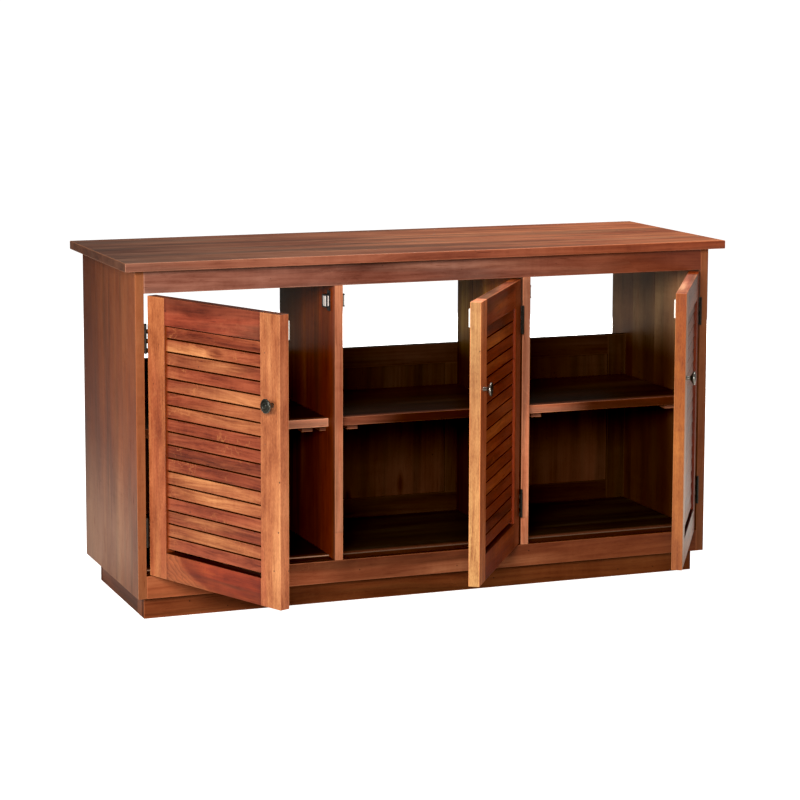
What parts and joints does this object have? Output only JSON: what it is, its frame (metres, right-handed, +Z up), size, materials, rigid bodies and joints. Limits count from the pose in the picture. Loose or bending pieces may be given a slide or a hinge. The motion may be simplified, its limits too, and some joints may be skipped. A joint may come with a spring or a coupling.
{
  "type": "vanity unit",
  "caption": "Free-standing wooden vanity unit with inset louvred doors on butt hinges, shelved compartments, an open upper back and a recessed plinth.",
  "frame": {"origin": "on the floor, under the middle of the carcass, on the underside of the plinth's centre bearer", "axes": "+X to the right of a person facing the doors, +Y from the doors to the back, +Z up"},
  "size_m": [1.5, 0.9097, 0.826],
  "materials": {
    "wood_top": "satin",
    "wood_carcass": "satin",
    "wood_inner": "satin",
    "wood_door": "satin",
    "wood_slats": "satin",
    "knob_bronze": "dark bronze, satin",
    "bright_steel": "zinc plated",
    "catch_plastic": "matt black",
    "magnet": "matt",
    "hinge_black": "satin black",
    "screw_dark": "satin black"
  },
  "bodies": {
    "carcass": {"back_bottom_rail": "wood_inner", "back_muntin_left": "wood_inner", "back_muntin_right": "wood_inner", "back_panel_left": "wood_inner", "back_panel_middle": "wood_inner", "back_panel_right": "wood_inner", "back_stile_left": "wood_inner", "back_stile_right": "wood_inner", "back_top_rail": "wood_inner", "bottom_panel": "wood_inner", "carcass_screws": "screw_dark", "catch_housings": "catch_plastic", "catch_magnets": "magnet", "catch_pole_plates": "bright_steel", "divider_left": "wood_inner", "divider_right": "wood_inner", "front_bottom_rail": "wood_carcass", "front_top_rail": "wood_carcass", "hinge_frame_leaves": "hinge_black", "hinge_pins": "hinge_black", "plinth_back": "wood_carcass", "plinth_center_bearer": "wood_carcass", "plinth_front": "wood_carcass", "plinth_side_left": "wood_carcass", "plinth_side_right": "wood_carcass", "rear_top_rail": "wood_carcass", "shelf_cleats": "wood_inner", "shelf_left": "wood_inner", "shelf_middle": "wood_inner", "shelf_right": "wood_inner", "side_panel_left": "wood_carcass", "side_panel_right": "wood_carcass", "top_panel": "wood_top"},
    "door_left": {"left_door_bottom_rail": "wood_door", "left_door_hinge_leaves": "hinge_black", "left_door_hinge_stile": "wood_door", "left_door_knob": "knob_bronze", "left_door_latch_stile": "wood_door", "left_door_louvre_slats": "wood_slats", "left_door_screws": "screw_dark", "left_door_strike_plate": "bright_steel", "left_door_top_rail": "wood_door"},
    "door_middle": {"middle_door_bottom_rail": "wood_door", "middle_door_hinge_leaves": "hinge_black", "middle_door_hinge_stile": "wood_door", "middle_door_knob": "knob_bronze", "middle_door_latch_stile": "wood_door", "middle_door_louvre_slats": "wood_slats", "middle_door_screws": "screw_dark", "middle_door_strike_plate": "bright_steel", "middle_door_top_rail": "wood_door"},
    "door_right": {"right_door_bottom_rail": "wood_door", "right_door_hinge_leaves": "hinge_black", "right_door_hinge_stile": "wood_door", "right_door_knob": "knob_bronze", "right_door_latch_stile": "wood_door", "right_door_louvre_slats": "wood_slats", "right_door_screws": "screw_dark", "right_door_strike_plate": "bright_steel", "right_door_top_rail": "wood_door"}
  },
  "joints": [
    {"name": "left_door_hinge", "type": "hinge", "parent": "carcass", "child": "door_left", "pos_m": [-0.6985, -0.25, 0.43], "axis": [0, 0, -1], "range_deg": [-66.7, 103.3]},
    {"name": "middle_door_hinge", "type": "hinge", "parent": "carcass", "child": "door_middle", "pos_m": [0.22517, -0.25, 0.43], "axis": [0, 0, 1], "range_deg": [-55, 55]},
    {"name": "right_door_hinge", "type": "hinge", "parent": "carcass", "child": "door_right", "pos_m": [0.6985, -0.25, 0.43], "axis": [0, 0, 1], "range_deg": [-58.7, 111.3]}
  ]
}
